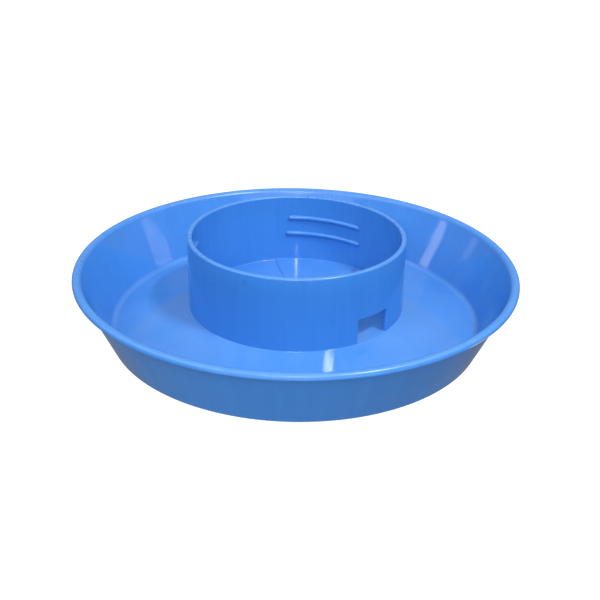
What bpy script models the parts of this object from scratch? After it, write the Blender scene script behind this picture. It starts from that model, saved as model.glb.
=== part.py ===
"""Screw-on base of a poultry waterer: a flared drinking dish round an upright jar collar.

Metres, +Z up. The origin is the centre of the circle that the dish stands on, and the
outlet window in the collar faces -Y. Bearings are compass angles in degrees seen from
above: 0 is +Y, 90 is +X and 180 is -Y. The real base is one moulding, so the pieces
here are its features, and the seams between them are solid plastic on the real one.
"""

import math

import bmesh
import bpy
from mathutils import Matrix

# Jar thread: four turns to the inch, the pitch of a regular-mouth preserving jar.
INCH = 0.0254
THREAD_PITCH = INCH / 4

# Dish: its flared wall is a straight cone, measured along its outer face.
RIM_RADIUS = 0.0755
RIM_HEIGHT = 0.0225
WALL_FOOT_RADIUS = 0.0646
WALL_TOP_RADIUS = 0.0734
WALL_TOP_HEIGHT = 0.0206
WALL_THICKNESS = 0.0012
LIP_ROUNDING = 0.0011

# Trough floor: a shallow cone that climbs from the wall to the collar.
FLOOR_THICKNESS = 0.0013
FLOOR_EDGE_HEIGHT = 0.00125
FLOOR_RISE = math.radians(13.8)
FOOT_INNER_RADIUS = 0.0622
FOOT_ROUNDING = 0.0004

# Jar collar: it draws in slightly towards its top.
COLLAR_HEIGHT = 0.03285
COLLAR_BASE_RADIUS = 0.0375
COLLAR_TOP_RADIUS = 0.0371
COLLAR_THICKNESS = 0.0017
COLLAR_ROUNDING = 0.0005
COLLAR_FLOOR_HEIGHT = 0.0071

# Outlet window through the front of the collar.
WINDOW_WIDTH = 0.0129
WINDOW_BOTTOM = 0.00776
WINDOW_TOP = 0.01615
WINDOW_ROUNDING = 0.0006

# Thread ribs: three pairs, each pair one pitch apart on one helix.
RIB_HEIGHT = 0.00165
RIB_DEPTH = 0.00095
RIB_HALF_SPAN = 23.0
RIB_POINTS = 13
RIB_PAIRS = {"right": (60.0, 0.0241), "front": (180.0, 0.02833), "left": (300.0, 0.02622)}

# The gap kept between neighbouring pieces, and the steps round a full turn.
SEAM = 0.0003
TURN_STEPS = 72
CORNER_STEPS = 3

BLUE = (0.045, 0.225, 0.80, 1.0)
ROUGHNESS = 0.32


def wall_outer(height):
    """Radius of the wall's outer face at a height."""
    lean = (WALL_TOP_RADIUS - WALL_FOOT_RADIUS) / WALL_TOP_HEIGHT
    return WALL_FOOT_RADIUS + lean * height


def wall_inner(height):
    """Radius of the wall's inner face, a wall thickness in from the outer one."""
    lean = (WALL_TOP_RADIUS - WALL_FOOT_RADIUS) / WALL_TOP_HEIGHT
    return wall_outer(height) - WALL_THICKNESS * math.hypot(1.0, lean)


def floor_top(radius):
    """Height of the trough floor's upper face at a radius."""
    return FLOOR_EDGE_HEIGHT + (wall_inner(FLOOR_EDGE_HEIGHT) - radius) * math.tan(FLOOR_RISE)


def floor_under(radius):
    """Height of the trough floor's lower face at a radius."""
    return floor_top(radius) - FLOOR_THICKNESS / math.cos(FLOOR_RISE)


def collar_outer(height):
    """Radius of the collar's outer face at a height."""
    share = height / COLLAR_HEIGHT
    return COLLAR_BASE_RADIUS + (COLLAR_TOP_RADIUS - COLLAR_BASE_RADIUS) * share


def collar_inner(height):
    """Radius of the collar's inner face at a height."""
    return collar_outer(height) - COLLAR_THICKNESS


def corner(radius, height, rounding, start, end):
    """Points of a rounded corner about a centre, from one angle to another in degrees."""
    points = []
    for step in range(CORNER_STEPS + 1):
        angle = math.radians(start + (end - start) * step / CORNER_STEPS)
        points.append((radius + rounding * math.cos(angle), height + rounding * math.sin(angle)))
    return points


def bearing_point(radius, bearing, height):
    """The point at a radius, compass bearing and height."""
    angle = math.radians(bearing)
    return (radius * math.sin(angle), radius * math.cos(angle), height)


def plastic(name):
    """Glossy blue moulded plastic for one piece."""
    material = bpy.data.materials.new(name + "_plastic")
    material.use_nodes = True
    shader = material.node_tree.nodes["Principled BSDF"]
    shader.inputs["Base Color"].default_value = BLUE
    shader.inputs["Roughness"].default_value = ROUGHNESS
    shader.inputs["Metallic"].default_value = 0.0
    material.diffuse_color = BLUE
    return material


def add_object(name, data, collection):
    """Puts a mesh or curve into the scene as a named object."""
    piece = bpy.data.objects.new(name, data)
    collection.objects.link(piece)
    return piece


def turned(name, profile, collection):
    """A ring or disc: a closed section, clockwise in the XZ plane, turned about Z."""
    mesh = bpy.data.meshes.new(name)
    points = [(radius, 0.0, height) for radius, height in profile]
    edges = [(index, (index + 1) % len(points)) for index in range(len(points))]
    mesh.from_pydata(points, edges, [])
    piece = add_object(name, mesh, collection)
    mesh.materials.append(plastic(name))
    screw = piece.modifiers.new("turn", "SCREW")
    screw.steps = TURN_STEPS
    screw.render_steps = TURN_STEPS
    screw.use_merge_vertices = True
    screw.merge_threshold = 0.00001
    screw.use_smooth_shade = True
    return piece


def to_mesh(piece, collection):
    """Replaces an object by its evaluated mesh, with its loose caps welded."""
    evaluated = piece.evaluated_get(bpy.context.evaluated_depsgraph_get())
    mesh = bpy.data.meshes.new_from_object(evaluated)
    name, matrix = piece.name, piece.matrix_world.copy()
    bpy.data.objects.remove(piece)
    weld = bmesh.new()
    weld.from_mesh(mesh)
    bmesh.ops.remove_doubles(weld, verts=weld.verts, dist=0.00001)
    bmesh.ops.recalc_face_normals(weld, faces=weld.faces)
    weld.to_mesh(mesh)
    weld.free()
    mesh.shade_smooth()
    mesh.set_sharp_from_angle(angle=math.radians(40))
    solid = add_object(name, mesh, collection)
    solid.matrix_world = matrix
    return solid


def foot_ring(collection):
    """The ring the dish stands on, with the rounded corner where the wall starts."""
    top = FLOOR_EDGE_HEIGHT + SEAM
    edge = wall_inner(FLOOR_EDGE_HEIGHT)
    lean = math.degrees(math.atan2(wall_outer(1.0) - wall_outer(0.0), 1.0))
    flat_end = WALL_FOOT_RADIUS - FOOT_ROUNDING * math.tan(math.radians(45 - lean / 2))
    section = [(edge, FLOOR_EDGE_HEIGHT), (wall_inner(top), top), (wall_outer(top), top)]
    section += corner(flat_end, FOOT_ROUNDING, FOOT_ROUNDING, -lean, -90)
    section += [(FOOT_INNER_RADIUS, 0.0), (FOOT_INNER_RADIUS, floor_top(FOOT_INNER_RADIUS))]
    return turned("foot_ring", section, collection)


def trough_floor(collection):
    """The sloping floor between the foot ring and the collar."""
    outer = FOOT_INNER_RADIUS - SEAM
    inner = collar_outer(COLLAR_FLOOR_HEIGHT) + SEAM
    section = [(inner, floor_top(inner)), (outer, floor_top(outer))]
    section += [(outer, floor_under(outer)), (inner, floor_under(inner))]
    return turned("trough_floor", section, collection)


def dish_wall(collection):
    """The flared wall, from just above the foot ring to just below the lip."""
    low = FLOOR_EDGE_HEIGHT + 2 * SEAM
    high = WALL_TOP_HEIGHT - SEAM
    section = [(wall_inner(high), high), (wall_outer(high), high)]
    section += [(wall_outer(low), low), (wall_inner(low), low)]
    return turned("dish_wall", section, collection)


def rim_lip(collection):
    """The thick rounded lip that crowns the wall and overhangs its outer face."""
    low = WALL_TOP_HEIGHT
    centre = RIM_HEIGHT - LIP_ROUNDING
    section = corner(wall_inner(centre) + LIP_ROUNDING, centre, LIP_ROUNDING, 180, 90)
    section += corner(RIM_RADIUS - LIP_ROUNDING, centre, LIP_ROUNDING, 90, 0)
    section += [(RIM_RADIUS - SEAM, low), (wall_inner(low), low)]
    return turned("rim_lip", section, collection)


def collar_floor(collection):
    """The flat disc that closes the bottom of the collar."""
    radius = collar_inner(COLLAR_FLOOR_HEIGHT) - SEAM
    bpy.ops.mesh.primitive_cylinder_add(
        vertices=TURN_STEPS,
        radius=radius,
        depth=FLOOR_THICKNESS,
        location=(0.0, 0.0, COLLAR_FLOOR_HEIGHT - FLOOR_THICKNESS / 2),
    )
    piece = bpy.context.object
    piece.name = "collar_floor"
    piece.data.name = "collar_floor"
    piece.data.shade_smooth()
    piece.data.set_sharp_from_angle(angle=math.radians(40))
    piece.data.materials.append(plastic("collar_floor"))
    for home in list(piece.users_collection):
        home.objects.unlink(piece)
    collection.objects.link(piece)
    return piece


def jar_collar(collection, cutters):
    """The upright collar that takes the jar's neck, with its outlet window cut out."""
    low = COLLAR_FLOOR_HEIGHT - FLOOR_THICKNESS
    rounded = COLLAR_HEIGHT - COLLAR_ROUNDING
    section = corner(collar_inner(rounded) + COLLAR_ROUNDING, rounded, COLLAR_ROUNDING, 180, 90)
    section += corner(collar_outer(rounded) - COLLAR_ROUNDING, rounded, COLLAR_ROUNDING, 90, 0)
    section += [(collar_outer(low), low), (collar_inner(low), low)]
    piece = turned("jar_collar", section, collection)
    cut = piece.modifiers.new("outlet_window", "BOOLEAN")
    cut.operation = "DIFFERENCE"
    cut.object = window_cutter(cutters)
    return piece


def window_cutter(cutters):
    """The block that cuts the outlet window, with small rounded corners."""
    bpy.ops.mesh.primitive_cube_add(size=1.0)
    cutter = bpy.context.object
    cutter.name = "window_cutter"
    size = (WINDOW_WIDTH, 4 * COLLAR_THICKNESS, WINDOW_TOP - WINDOW_BOTTOM)
    cutter.data.transform(Matrix.Diagonal((*size, 1.0)))
    cutter.location = (0.0, -collar_outer(WINDOW_TOP), (WINDOW_TOP + WINDOW_BOTTOM) / 2)
    bevel = cutter.modifiers.new("corners", "BEVEL")
    bevel.width = WINDOW_ROUNDING
    bevel.segments = 2
    cutter.hide_render = True
    cutter.display_type = "WIRE"
    for home in list(cutter.users_collection):
        home.objects.unlink(cutter)
    cutters.objects.link(cutter)
    return cutter


def thread_rib(name, middle, height, collection):
    """One thread rib: a flattened bar that follows the helix, clockwise and down."""
    curve = bpy.data.curves.new(name, "CURVE")
    curve.dimensions = "3D"
    curve.twist_mode = "Z_UP"
    thickness = RIB_DEPTH - SEAM
    curve.bevel_depth = thickness / 2
    curve.bevel_resolution = 1
    curve.extrude = (RIB_HEIGHT - thickness) / 2
    curve.use_fill_caps = True
    spline = curve.splines.new("POLY")
    spline.points.add(RIB_POINTS - 1)
    for index, point in enumerate(spline.points):
        turn = RIB_HALF_SPAN * (2 * index / (RIB_POINTS - 1) - 1)
        level = height - THREAD_PITCH * turn / 360
        radius = collar_inner(level) - SEAM - thickness / 2
        point.co = (*bearing_point(radius, middle + turn, level), 1.0)
    curve.materials.append(plastic(name))
    return to_mesh(add_object(name, curve, collection), collection)


def thread_ribs(collection):
    """Three pairs of ribs, the lower of each pair one pitch under the upper."""
    for side, (middle, height) in RIB_PAIRS.items():
        thread_rib(f"thread_rib_{side}_upper", middle, height, collection)
        thread_rib(f"thread_rib_{side}_lower", middle, height - THREAD_PITCH, collection)


def main():
    for item in list(bpy.data.objects):
        bpy.data.objects.remove(item)
    pieces = bpy.data.collections.new("poultry_waterer_base")
    cutters = bpy.data.collections.new("cutters")
    bpy.context.scene.collection.children.link(pieces)
    bpy.context.scene.collection.children.link(cutters)
    foot_ring(pieces)
    trough_floor(pieces)
    dish_wall(pieces)
    rim_lip(pieces)
    collar_floor(pieces)
    jar_collar(pieces, cutters)
    thread_ribs(pieces)


main()
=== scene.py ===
# %% [markdown]
# # A poultry waterer base, moulded in blue plastic
#
# The real object is the screw-on base of a poultry waterer: a flared drinking dish
# with an upright collar in the middle. A jar of water is screwed upside down into the
# collar, and water runs out of one small window until it covers the window's top.
#
# The base is one moulding. Nearly all of it is a turned shape, so this lesson works it
# out as surfaces of two parameters, one that runs along an outline and one that runs
# round the axis. The window, the thread ribs and a few low marks in the collar's floor
# are the only features that aren't turned.

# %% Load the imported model
import math

import bmesh
import bpy
import numpy as np
from mathutils import Matrix, Vector


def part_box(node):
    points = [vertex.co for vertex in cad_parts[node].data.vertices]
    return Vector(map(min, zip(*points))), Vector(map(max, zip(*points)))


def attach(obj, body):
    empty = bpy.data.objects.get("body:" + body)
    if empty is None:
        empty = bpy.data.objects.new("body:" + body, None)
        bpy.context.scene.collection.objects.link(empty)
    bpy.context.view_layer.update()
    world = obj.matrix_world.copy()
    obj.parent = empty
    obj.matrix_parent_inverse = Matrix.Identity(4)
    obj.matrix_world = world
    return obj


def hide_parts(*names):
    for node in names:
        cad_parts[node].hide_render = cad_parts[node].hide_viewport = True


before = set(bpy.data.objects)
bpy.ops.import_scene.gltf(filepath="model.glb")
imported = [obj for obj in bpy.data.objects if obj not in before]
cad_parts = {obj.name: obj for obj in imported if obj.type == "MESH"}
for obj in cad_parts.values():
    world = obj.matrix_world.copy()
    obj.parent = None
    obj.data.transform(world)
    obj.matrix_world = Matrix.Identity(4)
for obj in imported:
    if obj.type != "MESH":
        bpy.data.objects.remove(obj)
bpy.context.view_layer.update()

MM = 0.001

# %% [markdown]
# ## Sizes
#
# Every size that the frame already holds is read from it, so that the fine surfaces and
# the plain solids can't drift apart. What is left is wall thicknesses and small
# roundings, which a box can't tell, and those are named here in metres.

# %% Read the driving sizes from the frame
rim_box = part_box("rim_lip")
wall_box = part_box("dish_wall")
foot_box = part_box("foot_ring")
collar_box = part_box("jar_collar")
inner_floor_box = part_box("collar_floor")

RIM_RADIUS = rim_box[1].x
RIM_TOP = rim_box[1].z
LIP_LOW = rim_box[0].z
COLLAR_TOP = collar_box[1].z
COLLAR_LOW = collar_box[0].z
INNER_FLOOR = inner_floor_box[1].z
FLOOR_UNDER = inner_floor_box[0].z

WALL_LEAN = (wall_box[1].x - foot_box[1].x) / (wall_box[1].z - foot_box[1].z)
WALL_THICKNESS = 1.2 * MM
FLOOR_THICKNESS = 1.3 * MM
FLOOR_RISE = math.radians(13.8)
TROUGH_LOW = 1.25 * MM
COLLAR_DRAFT = 0.4 / 32.85
COLLAR_THICKNESS = 1.7 * MM
print("wall leans", round(math.degrees(math.atan(WALL_LEAN)), 1), "degrees")


def wall_outer(height):
    """Outer radius of the flared wall: a straight cone through the frame's wall."""
    return wall_box[1].x + (height - wall_box[1].z) * WALL_LEAN


def wall_inner(height):
    """Inner radius of the wall: the outer one less the thickness along the horizontal."""
    return wall_outer(height) - WALL_THICKNESS * math.hypot(1.0, WALL_LEAN)


def trough_top(radius):
    """Height of the trough's floor: a cone that climbs towards the collar."""
    inner_edge = wall_inner(TROUGH_LOW)
    return TROUGH_LOW + (inner_edge - radius) * math.tan(FLOOR_RISE)


def trough_under(radius):
    """Height of the floor's underside, one thickness below its top."""
    return trough_top(radius) - FLOOR_THICKNESS / math.cos(FLOOR_RISE)


def collar_outer(height):
    """Outer radius of the collar, which draws in a little towards its top."""
    return collar_box[1].x - (height - COLLAR_LOW) * COLLAR_DRAFT


def collar_inner(height):
    """Inner radius of the collar, one thickness inside the outer one."""
    return collar_outer(height) - COLLAR_THICKNESS


# %% [markdown]
# ## Camera
#
# A piece this size is best seen through a slightly long lens, from a little above. The
# camera is placed by a bearing, a distance and a height, and then turned in three plain
# steps: level and facing its bearing, tipped down, and rolled by the degree or so that a
# hand-held camera is always off.

# %% Place the camera
CAMERA_BEARING = 222.29
CAMERA_DISTANCE = 273.5 * MM
CAMERA_HEIGHT = 145.0 * MM
VIEW_BEARING = 42.6
TILT_DOWN = 26.735
ROLL = 1.096
LENS = 52.1


def at_bearing(distance, bearing, height):
    """A point at a distance and compass bearing from the axis, and a height."""
    angle = math.radians(bearing)
    return Vector((distance * math.sin(angle), distance * math.cos(angle), height))


camera_data = bpy.data.cameras.new("product_camera")
camera_data.lens = LENS
camera_data.clip_start = 0.01
camera = bpy.data.objects.new("product_camera", camera_data)
bpy.context.scene.collection.objects.link(camera)
face_bearing = Matrix.Rotation(math.radians(-VIEW_BEARING), 4, "Z")
tip_down = Matrix.Rotation(math.radians(90.0 - TILT_DOWN), 4, "X")
roll_over = Matrix.Rotation(math.radians(ROLL), 4, "Z")
place = Matrix.Translation(at_bearing(CAMERA_DISTANCE, CAMERA_BEARING, CAMERA_HEIGHT))
camera.matrix_world = place @ face_bearing @ tip_down @ roll_over
bpy.context.scene.camera = camera
print("the camera stands", round(camera.location.length / MM), "mm from the origin")

# %% [markdown]
# ## Light and floor
#
# The dish is glossy, so what it mirrors matters as much as what lights it. Broad panels
# give an even light from all sides. Small lamps give the marks that tell the eye that
# this is glossy plastic: a bright patch in the trough, a thread of light down the bore
# and streaks on the flared wall. A lamp looks as bright as its power divided by its
# area, so a small lamp can show up strongly and yet add little to the general light.

# %% A function for lamps
bpy.context.scene.view_settings.view_transform = "Standard"


def softbox(name, bearing, elevation, size, power, roll=0.0):
    """An area light one metre from the object, facing it; roll turns it about its beam."""
    flat = math.cos(math.radians(elevation))
    position = at_bearing(flat, bearing, math.sin(math.radians(elevation)))
    data = bpy.data.lights.new(name, "AREA")
    data.shape = "RECTANGLE"
    data.size, data.size_y = size
    data.energy = power
    lamp = bpy.data.objects.new(name, data)
    bpy.context.scene.collection.objects.link(lamp)
    facing = position.to_track_quat("Z", "Y").to_matrix().to_4x4()
    rolled = Matrix.Rotation(math.radians(roll), 4, "Z")
    lamp.matrix_world = Matrix.Translation(position) @ facing @ rolled


# %% [markdown]
# The sky is a dim, even white that gets a little darker towards the horizon and below
# it, where a real table would lie in the dish's own shade. The Z of a sky direction is
# the sine of its height above the horizon, so a Map Range node can carry it to a
# brightness.

# %% Make the sky
DARK_BELOW = -0.35
LIGHT_ABOVE = 0.15
SKY_DARK = 0.22
SKY_LIGHT = 0.33

world = bpy.data.worlds.new("white_tent")
world.use_nodes = True
bpy.context.scene.world = world
sky = world.node_tree
direction = sky.nodes.new("ShaderNodeTexCoord")
split = sky.nodes.new("ShaderNodeSeparateXYZ")
strength = sky.nodes.new("ShaderNodeMapRange")
strength.inputs["From Min"].default_value = DARK_BELOW
strength.inputs["From Max"].default_value = LIGHT_ABOVE
strength.inputs["To Min"].default_value = SKY_DARK
strength.inputs["To Max"].default_value = SKY_LIGHT
sky.nodes["Background"].inputs["Color"].default_value = (1.0, 1.0, 1.0, 1.0)
sky.links.new(direction.outputs["Generated"], split.inputs["Vector"])
sky.links.new(split.outputs["Z"], strength.inputs["Value"])
sky.links.new(strength.outputs["Result"], sky.nodes["Background"].inputs["Strength"])
print("the sky's strength runs from", SKY_DARK, "to", SKY_LIGHT)

# %% [markdown]
# Each lamp below has a name, a bearing and an elevation in degrees, a width and a height
# in metres, and a power in watts. The three small strips near the horizon give the
# streaks on the flared wall, and two of them are rolled to lie along it.

# %% Place the lamps
softbox("overhead_softbox", 42.6, 88.0, (1.2, 1.2), 1.6)
softbox("middle_panel", 222.6, 34.0, (1.2, 0.3), 1.2)
softbox("bounce_panel", 222.6, -14.0, (1.6, 0.3), 4.1)
softbox("left_panel", 312.6, 45.0, (0.6, 0.5), 1.3)
softbox("right_panel", 132.6, 45.0, (0.6, 0.5), 1.0)
softbox("left_front_panel", 268.0, 44.0, (0.5, 0.5), 1.9)
softbox("glow_panel", 222.0, 42.0, (0.22, 0.24), 2.4)
softbox("key_strip", 173.5, 57.0, (0.14, 0.035), 5.6)
softbox("camera_lamp", 222.0, 23.7, (0.05, 0.05), 0.7)
softbox("left_strip", 316.0, 14.0, (0.09, 0.16), 0.13, 55.0)
softbox("side_strip", 343.0, 8.0, (0.08, 0.10), 0.02, 50.0)
softbox("right_strip", 126.0, 13.0, (0.22, 0.10), 0.09)
print("lamps:", ", ".join(item.name for item in bpy.data.lights))

# %% [markdown]
# A white table throws light up at the outer wall and shows in its gloss, and at full
# white it would drown the blue. So the floor only glows for the camera: it is hidden
# from reflections and casts no shadow, and the bounce panel below its level lights the
# outer wall in its place.

# %% Lay the floor
FLOOR_HALF = 30.0
FLOOR_LEVEL = -0.02 * MM
FLOOR_GLOW = 0.9


def pale_floor():
    """A wide floor that ends far outside the view."""
    data = bpy.data.meshes.new("pale_floor")
    signs = [(-1, -1), (1, -1), (1, 1), (-1, 1)]
    corners = [(x * FLOOR_HALF, y * FLOOR_HALF, FLOOR_LEVEL) for x, y in signs]
    data.from_pydata(corners, [], [(0, 1, 2, 3)])
    floor = bpy.data.objects.new("pale_floor", data)
    bpy.context.scene.collection.objects.link(floor)
    material = bpy.data.materials.new("pale_floor")
    material.use_nodes = True
    shader = material.node_tree.nodes["Principled BSDF"]
    shader.inputs["Base Color"].default_value = (0.30, 0.30, 0.30, 1.0)
    shader.inputs["Roughness"].default_value = 0.6
    shader.inputs["Emission Color"].default_value = (1.0, 1.0, 1.0, 1.0)
    shader.inputs["Emission Strength"].default_value = FLOOR_GLOW
    data.materials.append(material)
    floor.visible_diffuse = False
    floor.visible_glossy = False
    floor.visible_shadow = False
    print("the floor is", round(2 * FLOOR_HALF), "m across")


pale_floor()

# %% [markdown]
# ## From arrays to meshes
#
# A surface here is an array of points, rows by columns. Each little square of four
# neighbouring points becomes a face. The same numbering works for any grid, so one
# function writes the faces, and another puts points and faces into a mesh and welds the
# places where a surface meets itself: the seam of a full turn, and the poles.

# %% Helpers for grids
WELD_DISTANCE = 0.001 * MM
ARC_STEP = math.radians(9)
POINT_GAP = 1.6 * MM


def grid_faces(rows, columns, start):
    """Four-cornered faces of a rows-by-columns grid of points, as an array of indices."""
    index = start + np.arange(rows * columns).reshape(rows, columns)
    corners = [index[:-1, :-1], index[:-1, 1:], index[1:, 1:], index[1:, :-1]]
    return np.stack([corner.ravel() for corner in corners], axis=1)


def solid_from_grids(name, grids):
    """One closed mesh from several grids whose edges coincide, welded and facing out."""
    points, faces, start = [], [], 0
    for grid in grids:
        rows, columns = grid.shape[:2]
        points.append(grid.reshape(-1, 3))
        faces.append(grid_faces(rows, columns, start))
        start += rows * columns
    data = bpy.data.meshes.new(name)
    data.from_pydata(np.concatenate(points).tolist(), [], np.concatenate(faces).tolist())
    work = bmesh.new()
    work.from_mesh(data)
    bmesh.ops.remove_doubles(work, verts=work.verts, dist=WELD_DISTANCE)
    bmesh.ops.recalc_face_normals(work, faces=work.faces)
    open_edges = sum(1 for edge in work.edges if not edge.is_manifold)
    work.to_mesh(data)
    work.free()
    data.shade_smooth()
    piece = bpy.data.objects.new(name, data)
    bpy.context.scene.collection.objects.link(piece)
    print(name, "has", len(data.polygons), "faces and", open_edges, "open edges")
    return piece


def rounded_outline(corners):
    """A dense outline through (radius, height, rounding) corners.

    Each corner with a rounding becomes an arc that touches both its sides: the arc
    starts rounding / tan(half the inside angle) before the corner. Straight stretches
    get points packed towards their ends, t = (1 - cos(pi s)) / 2, so that shading
    stays crisp where a flat meets an arc.
    """
    given = np.array([corner[:2] for corner in corners], float)
    stops = []
    for place_in_list in range(len(corners)):
        here = given[place_in_list]
        rounding = corners[place_in_list][2]
        if rounding <= 0 or place_in_list in (0, len(corners) - 1):
            stops.append(here[None, :])
            continue
        back = given[place_in_list - 1] - here
        ahead = given[place_in_list + 1] - here
        back, ahead = back / np.hypot(*back), ahead / np.hypot(*ahead)
        half_angle = math.acos(np.clip(back @ ahead, -1, 1)) / 2
        middle = (back + ahead) / np.hypot(*(back + ahead))
        centre = here + middle * rounding / math.sin(half_angle)
        first = here + back * rounding / math.tan(half_angle)
        last = here + ahead * rounding / math.tan(half_angle)
        start = math.atan2(*(first - centre)[::-1])
        sweep = math.atan2(*(last - centre)[::-1]) - start
        sweep = (sweep + math.pi) % (2 * math.pi) - math.pi
        steps = max(4, math.ceil(abs(sweep) / ARC_STEP))
        angles = start + sweep * np.linspace(0, 1, steps + 1)
        stops.append(centre + rounding * np.stack([np.cos(angles), np.sin(angles)], axis=1))
    pieces = [stops[0]]
    for before, after in zip(stops[:-1], stops[1:]):
        gap = after[0] - before[-1]
        count = max(2, math.ceil(np.hypot(*gap) / POINT_GAP) + 3)
        share = (1 - np.cos(np.pi * np.linspace(0, 1, count + 1))) / 2
        pieces.append(before[-1] + share[1:-1, None] * gap)
        pieces.append(after)
    return np.concatenate(pieces)


# %% [markdown]
# ## The drinking dish
#
# The dish is everything but the collar: foot, underside, flared wall, lip, trough floor
# and the floor inside the collar. On the real base they are one skin of plastic, so here
# they are one outline, from the middle of the underside, out, up the wall, over the lip
# and back along the top to the middle. Turned about the axis, it closes into a solid.
#
# Under the collar the outline rises by a low step, which fills the root of the collar
# with a small rounding on both sides and forms the sill of the window. In the middle of
# the underside is the little stub where the melt came in, the gate.

# %% Work out the dish's outline
GATE_RADIUS = 1.6 * MM
GATE_DEPTH = 0.4 * MM
GATE_FLARE = 0.3 * MM
GATE_ROUNDING = 0.15 * MM
UNDER_BEND = 36.0 * MM
FOOT_INNER = 62.2 * MM
FOOT_FLARE = 0.3 * MM
FOOT_ROUNDING = 0.4 * MM
LIP_INSET = 0.02 * MM
LIP_UNDER_ROUNDING = 0.5 * MM
LIP_LOW_ROUNDING = 0.4 * MM
LIP_OUTER_ROUNDING = 1.2 * MM
LIP_INNER_ROUNDING = 1.9 * MM
TROUGH_ROUNDING = 2.0 * MM
SILL = 7.76 * MM
ROOT_INSET = 0.01 * MM
ROOT_ROUNDING = 0.3 * MM
SILL_ROUNDING = 0.05 * MM
CORE_PIN_RADIUS = 18.0 * MM
CORE_PIN_STEP = 0.15 * MM

root_outer = collar_outer(SILL) - ROOT_INSET
root_inner = collar_inner(SILL) + ROOT_INSET

# Each corner is a radius, a height and a rounding.
dish_corners = [
    (0.0, FLOOR_UNDER - GATE_DEPTH, 0.0),
    (GATE_RADIUS, FLOOR_UNDER - GATE_DEPTH, GATE_ROUNDING),
    (GATE_RADIUS + GATE_FLARE, FLOOR_UNDER, GATE_ROUNDING),
    (UNDER_BEND, FLOOR_UNDER, 1.0 * MM),
    (FOOT_INNER - FOOT_FLARE, trough_under(FOOT_INNER), 0.3 * MM),
    (FOOT_INNER, 0.0, 0.1 * MM),
    (wall_outer(0.0), 0.0, FOOT_ROUNDING),
    (wall_outer(LIP_LOW), LIP_LOW, LIP_UNDER_ROUNDING),
    (RIM_RADIUS - LIP_INSET, LIP_LOW, LIP_LOW_ROUNDING),
    (RIM_RADIUS - LIP_INSET, RIM_TOP, LIP_OUTER_ROUNDING),
    (wall_inner(RIM_TOP), RIM_TOP, LIP_INNER_ROUNDING),
    (wall_inner(TROUGH_LOW), TROUGH_LOW, TROUGH_ROUNDING),
    (root_outer, trough_top(root_outer), ROOT_ROUNDING),
    (root_outer, SILL, SILL_ROUNDING),
    (root_inner, SILL, SILL_ROUNDING),
    (root_inner, INNER_FLOOR, ROOT_ROUNDING),
    (CORE_PIN_RADIUS + CORE_PIN_STEP, INNER_FLOOR, 0.0),
    (CORE_PIN_RADIUS, INNER_FLOOR, 0.0),
    (0.0, INNER_FLOOR, 0.0),
]
dish_outline = rounded_outline(dish_corners)
print("the dish's outline has", len(dish_outline), "points")


# %% Turn the outline into the dish
def turn(outline, bearings):
    """The surface x = r sin(b), y = r cos(b), z = h, for outline (r, h) and bearing b."""
    radius, height = outline[:, :1], outline[:, 1:]
    ones = np.ones_like(bearings)[None, :]
    return np.stack([radius * np.sin(bearings), radius * np.cos(bearings), height * ones], axis=2)


# %% [markdown]
# The threads were moulded round a core that collapses to let go of them, and its three
# segments left their mark in the collar's floor: three sectors stand a third of a
# millimetre higher than the rest, each with a fine groove along one side. On the flat of
# the floor the height depends on the bearing alone, so it is read off a short list of
# (bearing, height) corners. It stops at the round pin in the core's middle, and fades
# out up the root of the collar.

# %% Lift the core's three sectors
COLUMNS = 288
SECTOR_STARTS = (28.8, 148.8, 268.8)
SECTOR_SPAN = 52.0
SECTOR_LIFT = 0.32 * MM
GROOVE_SPAN = 0.3
GROOVE_DEPTH = 0.22 * MM
EDGE_SPAN = 0.25

sector_shape = [
    (-GROOVE_SPAN - EDGE_SPAN, 0.0),
    (-GROOVE_SPAN, -GROOVE_DEPTH),
    (0.0, -GROOVE_DEPTH),
    (EDGE_SPAN, SECTOR_LIFT),
    (SECTOR_SPAN - EDGE_SPAN, SECTOR_LIFT),
    (SECTOR_SPAN, 0.0),
]
sector_corners = np.array([
    (start + offset, height) for start in SECTOR_STARTS for offset, height in sector_shape
])
corner_bearings = np.radians(sector_corners[:, 0])
plain_bearings = np.linspace(0, 2 * np.pi, COLUMNS + 1)
bearings = np.unique(np.concatenate([plain_bearings, corner_bearings]))

dish_grid = turn(dish_outline, bearings)
lift = np.interp(bearings, corner_bearings, sector_corners[:, 1], period=2 * np.pi)
from_axis = dish_outline[:, 0]
on_inner_floor = from_axis > CORE_PIN_RADIUS + 0.1 * MM
on_inner_floor &= from_axis < root_inner + 0.01 * MM
on_inner_floor &= dish_outline[:, 1] > INNER_FLOOR - 0.1 * MM
fade_to_sill = np.clip((SILL - dish_outline[:, 1]) / (SILL - INNER_FLOOR), 0, 1)
dish_grid[:, :, 2] += (on_inner_floor * fade_to_sill)[:, None] * lift[None, :]
drinking_dish = solid_from_grids("drinking_dish", [dish_grid])

# %% [markdown]
# ## The jar collar
#
# The collar is a tube with a thick rounded top, and one window through it near the foot.
# A Boolean would cut the window in a moment, but it leaves sharp edges and long thin
# faces. Here the window is planned into the grid instead. Round the window the square
# grid gives way to rings that run from the window's rounded outline to a rectangle of
# the square grid, and a strip with rounded edges joins the outer skin to the inner one.

# %% Set out the collar's grid
WINDOW_HALF_WIDTH = 6.45 * MM
WINDOW_LOW = 7.3 * MM
WINDOW_HIGH = 16.15 * MM
WINDOW_CORNER = 0.7 * MM
WINDOW_EDGE = 0.4 * MM
PATCH_HALF_WIDTH = 9.5 * MM
PATCH_HALF = math.asin(PATCH_HALF_WIDTH / collar_outer(WINDOW_HIGH))
PATCH_LOW = 6.6 * MM
PATCH_HIGH = 20.0 * MM
RINGS = 13
RING_PACKING = 1.5
COLLAR_ROUNDING = 0.6 * MM


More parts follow.
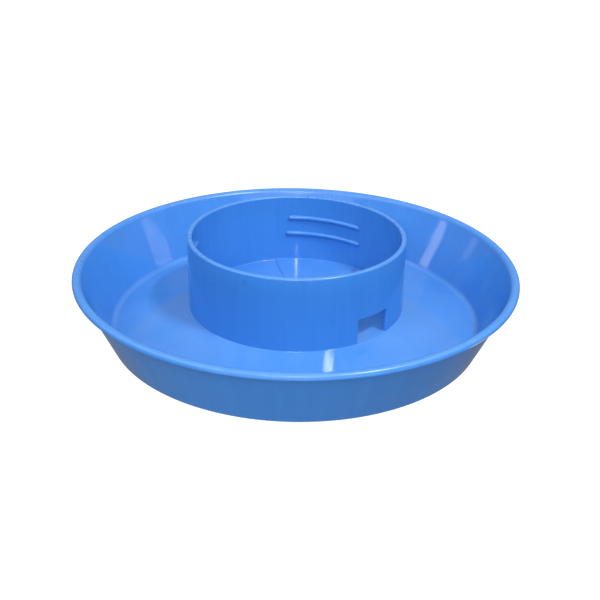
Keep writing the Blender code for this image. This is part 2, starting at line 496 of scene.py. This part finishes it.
def packed_ends(low, high, count):
    """Values from low to high, packed towards both ends: low + (high-low)(1-cos(pi s))/2."""
    return low + (high - low) * (1 - np.cos(np.pi * np.linspace(0, 1, count + 1))) / 2


patch_turns = packed_ends(-PATCH_HALF, PATCH_HALF, 32)
free_turns = np.linspace(PATCH_HALF, 2 * np.pi - PATCH_HALF, 300)
patch_heights = packed_ends(PATCH_LOW, PATCH_HIGH, 30)
upper_heights = packed_ends(PATCH_HIGH, COLLAR_TOP - COLLAR_ROUNDING, 14)
all_turns = np.concatenate([patch_turns, free_turns[1:]])
print("the window's patch has", len(patch_turns), "columns, the whole collar", len(all_turns))


def on_collar(turn_from_front, height, depth):
    """A point of the collar's wall, by turn from the front, height and depth inwards."""
    radius = collar_outer(height) - depth
    x = -radius * np.sin(turn_from_front)
    y = -radius * np.cos(turn_from_front)
    return np.stack([x, y, height * np.ones_like(x)], axis=-1)


# %% Work out the window's rings
def square_loop(turns, heights):
    """The points round a rectangle of the grid, in order, as (turn, height) rows."""
    low = np.stack([turns[:-1], np.full(len(turns) - 1, heights[0])], axis=1)
    right = np.stack([np.full(len(heights) - 1, turns[-1]), heights[:-1]], axis=1)
    high = np.stack([turns[:0:-1], np.full(len(turns) - 1, heights[-1])], axis=1)
    left = np.stack([np.full(len(heights) - 1, turns[0]), heights[:0:-1]], axis=1)
    loop = np.concatenate([low, right, high, left])
    return np.concatenate([loop, loop[:1]])


def window_loop(loop, grow):
    """The window's outline, grown by some amount, with a point for each loop point.

    The loop is scaled to the window, then any point within a corner's square is pulled
    on to the arc about that corner's centre.
    """
    share_across = loop[:, 0] / PATCH_HALF
    share_up = (loop[:, 1] - PATCH_LOW) / (PATCH_HIGH - PATCH_LOW) * 2 - 1
    half = np.array([WINDOW_HALF_WIDTH + grow, (WINDOW_HIGH - WINDOW_LOW) / 2 + grow])
    place_in_window = np.stack([share_across, share_up], axis=1) * half
    rounding = WINDOW_CORNER + grow
    corner_centre = np.sign(place_in_window) * (half - rounding)
    out = place_in_window - corner_centre
    in_corner = np.all(np.abs(place_in_window) > half - rounding, axis=1)
    length = np.maximum(np.hypot(out[:, 0], out[:, 1]), 1e-9)[:, None]
    pulled = corner_centre + out / length * rounding
    outline = np.where(in_corner[:, None], pulled, place_in_window)
    outline[:, 1] += (WINDOW_HIGH + WINDOW_LOW) / 2
    return outline


def ring_patch(depth):
    """Rings from the window's grown outline to the grid's rectangle, on one skin."""
    outer_loop = square_loop(patch_turns, patch_heights)
    window = window_loop(outer_loop, WINDOW_EDGE)
    inner_turn = np.arcsin(window[:, 0] / (collar_outer(window[:, 1]) - depth))
    share = np.linspace(0, 1, RINGS)[:, None] ** RING_PACKING
    turns = inner_turn + share * (outer_loop[:, 0] - inner_turn)
    heights = window[:, 1] + share * (outer_loop[:, 1] - window[:, 1])
    return on_collar(turns, heights, depth)


def window_strip():
    """The strip through the wall: an edge arc, a straight jamb and another edge arc.

    On an arc the outline grows by e(1 - sin a) while the depth is e(1 - cos a).
    """
    outer_loop = square_loop(patch_turns, patch_heights)
    angle = np.linspace(0, np.pi / 2, 6)
    grow = WINDOW_EDGE * (1 - np.sin(angle))
    depth = WINDOW_EDGE * (1 - np.cos(angle))
    jamb = packed_ends(WINDOW_EDGE, COLLAR_THICKNESS - WINDOW_EDGE, 6)[1:-1]
    grow = np.concatenate([grow, np.zeros_like(jamb), grow[::-1]])
    depth = np.concatenate([depth, jamb, COLLAR_THICKNESS - depth[::-1]])
    rows = []
    for amount, inwards in zip(grow, depth):
        window = window_loop(outer_loop, amount)
        turns = np.arcsin(window[:, 0] / (collar_outer(window[:, 1]) - inwards))
        rows.append(on_collar(turns, window[:, 1], inwards))
    return np.stack(rows)


# %% Put the collar together
def skin(depth, turns, heights):
    """Part of the collar's outer or inner skin, as a grid of turn and height."""
    return on_collar(turns[None, :], heights[:, None], depth)


def collar_top():
    """The rounded top edge: an arc from each skin, and a flat between them.

    Both arcs are measured from the outer radius at their centre's height, so the draft
    above that height is added back.
    """
    angle = np.linspace(0, np.pi / 2, 9)
    centre = COLLAR_TOP - COLLAR_ROUNDING
    depth = COLLAR_ROUNDING * (1 - np.cos(angle))
    height = centre + COLLAR_ROUNDING * np.sin(angle)
    flat = packed_ends(COLLAR_ROUNDING, COLLAR_THICKNESS - COLLAR_ROUNDING, 4)[1:-1]
    depth = np.concatenate([depth, flat, COLLAR_THICKNESS - depth[::-1]])
    height = np.concatenate([height, np.full(len(flat), COLLAR_TOP), height[::-1]])
    slope = (height - centre) * COLLAR_DRAFT
    grid_turns, grid_heights = all_turns[None, :], height[:, None]
    return on_collar(grid_turns, grid_heights, depth[:, None] - slope[:, None])


def collar_foot():
    """The hidden bottom edge, inside the dish's floor."""
    low = np.array([PATCH_LOW, PATCH_LOW])[:, None]
    depth = np.array([0.0, COLLAR_THICKNESS])[:, None]
    return on_collar(all_turns[None, :], low, depth)


collar_grids = [collar_top(), collar_foot(), window_strip()]
for skin_depth in (0.0, COLLAR_THICKNESS):
    collar_grids.append(skin(skin_depth, free_turns, patch_heights))
    collar_grids.append(skin(skin_depth, all_turns, upper_heights))
    collar_grids.append(ring_patch(skin_depth))
collar_with_window = solid_from_grids("collar_with_window", collar_grids)

# %% [markdown]
# ## The thread ribs
#
# Instead of a full thread the collar has three pairs of short ribs, all on one helix.
# A helix falls by its pitch in each full turn. Each rib is a closed surface: one
# parameter runs along the helix, the other round a bar's section, and the section
# shrinks to nothing at both ends along a quarter circle, which rounds them.

# %% Make the six ribs
THREAD_PITCH = 25.4 * MM / 4
RIB_HALF_HEIGHT = 0.82 * MM
RIB_PROUD = 0.95 * MM
RIB_SUNK = 0.35 * MM
RIB_END = 0.9 * MM
RIB_POWER = 0.85

# For each level, how far its middle is turned and how far it reaches each way, in degrees.
RIB_SPANS = {"upper": (0.0, 23.2), "lower": (-0.4, 24.2)}


def rib_surface(middle_bearing, middle_height, half_span):
    """A rib: P = R(b, z) with z = z0 - pitch b / 2 pi, and a superellipse section.

    Round the section, with c and s the cosine and sine of its angle, the reach into the
    bore is |c|^RIB_POWER and the height is |s|^RIB_POWER, each with its own sign and
    half size.
    """
    bore = collar_inner(middle_height)
    half_length = half_span * bore
    end_angle = np.linspace(0, np.pi / 2, 9)
    end_run = RIB_END * (1 - np.cos(end_angle))
    end_size = np.sin(end_angle)
    body = np.linspace(RIB_END, 2 * half_length - RIB_END, 60)[1:-1]
    along = np.concatenate([end_run, body, 2 * half_length - end_run[::-1]]) - half_length
    size = np.concatenate([end_size, np.ones_like(body), end_size[::-1]])[:, None]
    turn_along = (along / bore)[:, None]
    angle = np.linspace(0, 2 * np.pi, 33)[None, :]
    reach = np.sign(np.cos(angle)) * np.abs(np.cos(angle)) ** RIB_POWER
    reach = np.where(reach > 0, reach * RIB_PROUD, reach * RIB_SUNK) * size
    rise = np.sign(np.sin(angle)) * np.abs(np.sin(angle)) ** RIB_POWER * RIB_HALF_HEIGHT * size
    height = middle_height - THREAD_PITCH * turn_along / (2 * np.pi) + rise
    radius = collar_inner(height) - reach
    bearing = middle_bearing + turn_along
    return np.stack([radius * np.sin(bearing), radius * np.cos(bearing), height], axis=2)


ribs = []
for side in ("right", "front", "left"):
    for level in ("upper", "lower"):
        node = f"thread_rib_{side}_{level}"
        low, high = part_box(node)
        middle = (low + high) / 2
        shift, half_span = np.radians(RIB_SPANS[level])
        bearing = math.atan2(middle.x, middle.y) + shift
        ribs.append(solid_from_grids(f"{node}_fine", [rib_surface(bearing, middle.z, half_span)]))

# %% [markdown]
# ## Blue moulded plastic
#
# The plastic looks like polyethylene, coloured right through and glossy from a polished
# mould. A flat colour would look like paint on glass, so the finish is built up from
# what moulding and use leave behind: pigment that streaks as the melt flows outwards,
# a faint orange-peel skin, hair scratches, and dull pale scuffs where the rim, the foot
# and the collar's top get knocked.
#
# Every noise reads Object coordinates. All pieces sit at the origin, so one metre in
# the pattern is one metre on the object, and streaks can follow the axis.

# %% Helpers for shader nodes
def add_node(tree, kind, inputs=None, **settings):
    """Adds a node, sets its properties, and feeds its inputs values or other sockets."""
    made = tree.nodes.new(kind)
    for key, value in settings.items():
        setattr(made, key, value)
    for key, value in (inputs or {}).items():
        if isinstance(value, bpy.types.NodeSocket):
            tree.links.new(value, made.inputs[key])
        else:
            made.inputs[key].default_value = value
    return made


def calc(tree, operation, *values):
    """One arithmetic step on numbers or sockets."""
    return add_node(tree, "ShaderNodeMath", dict(enumerate(values)), operation=operation).outputs[0]


def ramp(tree, value, low, high, start=0.0, end=1.0):
    """Carries a value smoothly from start at low to end at high, and holds it outside."""
    inputs = {"Value": value, "From Min": low, "From Max": high, "To Min": start, "To Max": end}
    made = add_node(tree, "ShaderNodeMapRange", inputs, interpolation_type="SMOOTHSTEP")
    return made.outputs["Result"]


def noise(tree, vector, scale, detail=3.0):
    """Soft random values round 0.5, scale features to a unit of the vector."""
    inputs = {"Vector": vector, "Scale": scale, "Detail": detail}
    return add_node(tree, "ShaderNodeTexNoise", inputs).outputs["Fac"]


# %% Coordinates that follow the axis
def axis_parts(tree):
    """The place on the object, its height and its distance from the axis."""
    place = add_node(tree, "ShaderNodeTexCoord").outputs["Object"]
    split = add_node(tree, "ShaderNodeSeparateXYZ", {"Vector": place})
    across = calc(tree, "POWER", split.outputs["X"], 2.0)
    along = calc(tree, "POWER", split.outputs["Y"], 2.0)
    radius = calc(tree, "SQRT", calc(tree, "ADD", across, along))
    return place, split, radius


def round_the_axis(tree, split, radius, around, outwards):
    """A vector (x/r, y/r, r + z), stretched by one factor around and one outwards.

    A large factor gives fine features in that direction, and a small one long streaks.
    """
    safe = calc(tree, "MAXIMUM", radius, 0.0001)
    east = calc(tree, "MULTIPLY", calc(tree, "DIVIDE", split.outputs["X"], safe), around)
    north = calc(tree, "MULTIPLY", calc(tree, "DIVIDE", split.outputs["Y"], safe), around)
    path = calc(tree, "MULTIPLY", calc(tree, "ADD", radius, split.outputs["Z"]), outwards)
    return add_node(tree, "ShaderNodeCombineXYZ", {"X": east, "Y": north, "Z": path}).outputs["Vector"]


# %% [markdown]
# A scratch is where a stretched noise passes through its middle value: the thinner the
# band that is kept, the finer the line. A second, coarse noise decides where there are
# any scratches at all. A scuff is the same idea with blotches instead of lines, and it
# only sets in from a given height. Two single marks have a place of their own: a soft
# stain on the collar, and a scrape along the lip.

# %% Scratches and scuffs
def scratches(tree, vector, place, width, cover):
    """Hair lines where a noise is within width of 0.5, in patches that a noise picks."""
    off_middle = calc(tree, "ABSOLUTE", calc(tree, "SUBTRACT", noise(tree, vector, 1.0, 1.0), 0.5))
    line = ramp(tree, off_middle, 0.0, width, 1.0, 0.0)
    patches = ramp(tree, noise(tree, place, 95.0), 1.0 - cover, 1.12 - cover)
    return calc(tree, "MULTIPLY", line, patches)


def scuffs(tree, place, height, low, high, amount):
    """Blotchy rubbing that starts at the height low and is full at high."""
    band = ramp(tree, height, low, high)
    blotch = ramp(tree, noise(tree, place, 420.0, 6.0), 0.5, 0.72)
    return calc(tree, "MULTIPLY", calc(tree, "MULTIPLY", band, blotch), amount)


def painted_upward_sheen(tree, place):
    """Painted sheen: an uneven paler film on the faces that look up, as if they were lit strongly from
    above.
    """
    facing = add_node(tree, "ShaderNodeNewGeometry").outputs["Normal"]
    upwards = add_node(tree, "ShaderNodeSeparateXYZ", {"Vector": facing}).outputs["Z"]
    film = ramp(tree, noise(tree, place, 60.0, 5.0), 0.25, 0.75, 0.04, 0.12)
    return calc(tree, "MULTIPLY", ramp(tree, upwards, 0.3, 0.95), film)


def spot(tree, place, bearing, radius, height, size):
    """A soft round mark about one point of the surface."""
    centre = tuple(at_bearing(radius, bearing, height))
    inputs = {0: place, 1: centre}
    reach = add_node(tree, "ShaderNodeVectorMath", inputs, operation="DISTANCE").outputs["Value"]
    return ramp(tree, reach, size * 0.35, size, 1.0, 0.0)


def scrape(tree, place, height, bearing, radius, level, reach, width):
    """A line of rubbing that runs level round the axis and fades out at its reach."""
    near = spot(tree, place, bearing, radius, level, reach)
    off_level = calc(tree, "ABSOLUTE", calc(tree, "SUBTRACT", height, level))
    return calc(tree, "MULTIPLY", near, ramp(tree, off_level, 0.4 * width, width, 1.0, 0.0))


# %% [markdown]
# The colour lies between two blues that are close together, picked by streaks and by
# soft clouds. A Bump node turns a height in metres into shading: the orange peel is a
# few thousandths of a millimetre high, which is enough to make a reflection waver.

# %% Colour, scratches and relief
PLASTIC_BLUE = (0.050, 0.235, 0.670, 1.0)
PLASTIC_DEEP = (0.046, 0.220, 0.640, 1.0)
FLOW_SHARE = 0.55
PEEL_HEIGHT = 0.0035 * MM
DRAW_HEIGHT = 0.0005 * MM
SCRATCH_DEPTH = 0.006 * MM


def mix_colour(tree, share, under, over):
    """Lays one colour over another by a share, on the Mix node's colour sockets 6 and 7."""
    made = add_node(tree, "ShaderNodeMix", {0: share, 6: under, 7: over}, data_type="RGBA")
    return made.outputs[2]


def pigment_colour(tree, split, radius, cloud):
    """The two blues, mixed by streaks that follow the melt outwards and by the clouds."""
    flow = noise(tree, round_the_axis(tree, split, radius, 26.0, 22.0), 1.0, 4.0)
    streaks = calc(tree, "MULTIPLY", flow, FLOW_SHARE)
    clouds = calc(tree, "MULTIPLY", cloud, 1.0 - FLOW_SHARE)
    pigment = calc(tree, "ADD", streaks, clouds)
    return mix_colour(tree, ramp(tree, pigment, 0.35, 0.65), PLASTIC_DEEP, PLASTIC_BLUE)


def hair_scratches(tree, place, split, radius):
    """Wipe marks that run round the axis, and nicks that slant across the object."""
    turned_lines = round_the_axis(tree, split, radius, 2.5, 2600.0)
    wipes = scratches(tree, turned_lines, place, 0.012, 0.50)
    slant = add_node(tree, "ShaderNodeMapping", {
        "Vector": place, "Rotation": (0.4, 0.9, 0.7), "Scale": (1900.0, 40.0, 1900.0),
    }).outputs["Vector"]
    nicks = scratches(tree, slant, place, 0.010, 0.42)
    return calc(tree, "MAXIMUM", wipes, nicks)


def skin_relief(tree, place, split, radius, marks):
    """The surface's normal: peel plus draw lines, less the scratches, as one height."""
    peel = calc(tree, "MULTIPLY", noise(tree, place, 620.0, 2.0), PEEL_HEIGHT)
    draw_lines = noise(tree, round_the_axis(tree, split, radius, 90.0, 18.0), 1.0, 2.0)
    draw = calc(tree, "MULTIPLY", draw_lines, DRAW_HEIGHT)
    cut = calc(tree, "MULTIPLY", marks, -SCRATCH_DEPTH)
    relief = calc(tree, "ADD", calc(tree, "ADD", peel, draw), cut)
    inputs = {"Strength": 1.0, "Distance": 1.0, "Height": relief}
    return add_node(tree, "ShaderNodeBump", inputs).outputs["Normal"]


# %% [markdown]
# One function makes the plastic for every piece, and each piece says where it is worn.
# Wear, scrape, a painted sheen on the faces that look up, and stain are laid over the
# blue in that order; the sheen makes those faces paler, as if lit strongly from above.
# Rubbed plastic is duller as well as paler, so the wear also raises the roughness, and the
# lip and the collar's top edge are satin where hands and jars touch them.

# %% Put the finish together
PLASTIC_WORN = (0.200, 0.380, 0.720, 1.0)
PLASTIC_SCRAPED = (0.480, 0.520, 0.780, 1.0)
# Painted sheen: the paler blue laid on the upward faces, as if they were lit from above.
PLASTIC_UPWARD_SHEEN = (0.300, 0.460, 0.720, 1.0)
PLASTIC_STAIN = (0.030, 0.110, 0.260, 1.0)
SCRATCH_WEAR = 0.25
STAIN_STRENGTH = 0.2
GLOSS = 0.06
WORN_ROUGHNESS = 0.45
SATIN_ROUGHNESS = 0.22
SATIN_RUN = 1.5 * MM
PLASTIC_IOR = 1.54


def moulded_plastic(name, wear_bands, satin_from=None, stain=None, scraped=None):
    """Glossy moulded plastic with flow streaks, orange peel, scratches and scuffs."""
    material = bpy.data.materials.new(name)
    material.use_nodes = True
    tree = material.node_tree
    shader = tree.nodes["Principled BSDF"]
    place, split, radius = axis_parts(tree)
    height = split.outputs["Z"]
    cloud = noise(tree, place, 34.0, 3.0)
    marks = hair_scratches(tree, place, split, radius)

    worn = calc(tree, "MULTIPLY", marks, SCRATCH_WEAR)
    for band in wear_bands:
        worn = calc(tree, "MAXIMUM", worn, scuffs(tree, place, height, **band))
    colour = mix_colour(tree, worn, pigment_colour(tree, split, radius, cloud), PLASTIC_WORN)
    if scraped:
        rubbed = scrape(tree, place, height, **scraped)
        colour = mix_colour(tree, rubbed, colour, PLASTIC_SCRAPED)
    # Painted sheen: the faces that look up are made paler, as if lit strongly from above.
    colour = mix_colour(tree, painted_upward_sheen(tree, place), colour, PLASTIC_UPWARD_SHEEN)
    if stain:
        tint = calc(tree, "MULTIPLY", spot(tree, place, **stain), STAIN_STRENGTH)
        colour = mix_colour(tree, tint, colour, PLASTIC_STAIN)
    tree.links.new(colour, shader.inputs["Base Color"])

    haze = ramp(tree, cloud, 0.3, 0.7, GLOSS - 0.015, GLOSS + 0.03)
    rough = calc(tree, "ADD", haze, calc(tree, "MULTIPLY", worn, WORN_ROUGHNESS))
    if satin_from:
        satin = ramp(tree, height, satin_from, satin_from + SATIN_RUN, 0.0, SATIN_ROUGHNESS)
        rough = calc(tree, "ADD", rough, satin)
    tree.links.new(rough, shader.inputs["Roughness"])
    tree.links.new(skin_relief(tree, place, split, radius, marks), shader.inputs["Normal"])
    shader.inputs["IOR"].default_value = PLASTIC_IOR
    shader.inputs["Metallic"].default_value = 0.0
    print(name, "has", len(tree.nodes), "nodes")
    return material


# %% Say where each piece is worn
STAIN_HEIGHT = 29.7 * MM
COLLAR_SATIN = COLLAR_TOP - 1.6 * MM
LIP_SATIN = RIM_TOP - 2.4 * MM

lip_wear = {"low": RIM_TOP - 0.9 * MM, "high": RIM_TOP - 0.1 * MM, "amount": 0.14}
foot_wear = {"low": 0.6 * MM, "high": 0.0, "amount": 0.8}
collar_wear = {"low": COLLAR_TOP - 0.8 * MM, "high": COLLAR_TOP, "amount": 0.14}
lip_scrape = {
    "bearing": 176.0,
    "radius": RIM_RADIUS,
    "level": RIM_TOP - 1.6 * MM,
    "reach": 8.5 * MM,
    "width": 0.35 * MM,
}
collar_stain = {
    "bearing": 247.8,
    "radius": collar_outer(STAIN_HEIGHT),
    "height": STAIN_HEIGHT,
    "size": 1.5 * MM,
}
print("the lip is worn from", round(lip_wear["low"] / MM, 1), "mm up")

# %% Finish each piece
dish_plastic = moulded_plastic("dish_plastic", [lip_wear, foot_wear], LIP_SATIN, scraped=lip_scrape)
collar_plastic = moulded_plastic("collar_plastic", [collar_wear], COLLAR_SATIN, stain=collar_stain)
rib_plastic = moulded_plastic("rib_plastic", [])
drinking_dish.data.materials.append(dish_plastic)
collar_with_window.data.materials.append(collar_plastic)
for rib in ribs:
    rib.data.materials.append(rib_plastic)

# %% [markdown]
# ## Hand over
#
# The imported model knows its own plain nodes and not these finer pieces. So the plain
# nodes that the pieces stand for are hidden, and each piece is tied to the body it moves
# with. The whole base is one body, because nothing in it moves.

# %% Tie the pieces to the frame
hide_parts("foot_ring", "trough_floor", "dish_wall", "rim_lip", "collar_floor")
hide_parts("jar_collar")
for rib in ribs:
    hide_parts(rib.name.removesuffix("_fine"))
for piece in [drinking_dish, collar_with_window, *ribs]:
    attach(piece, "root")
print("tied", 2 + len(ribs), "pieces to the root body")
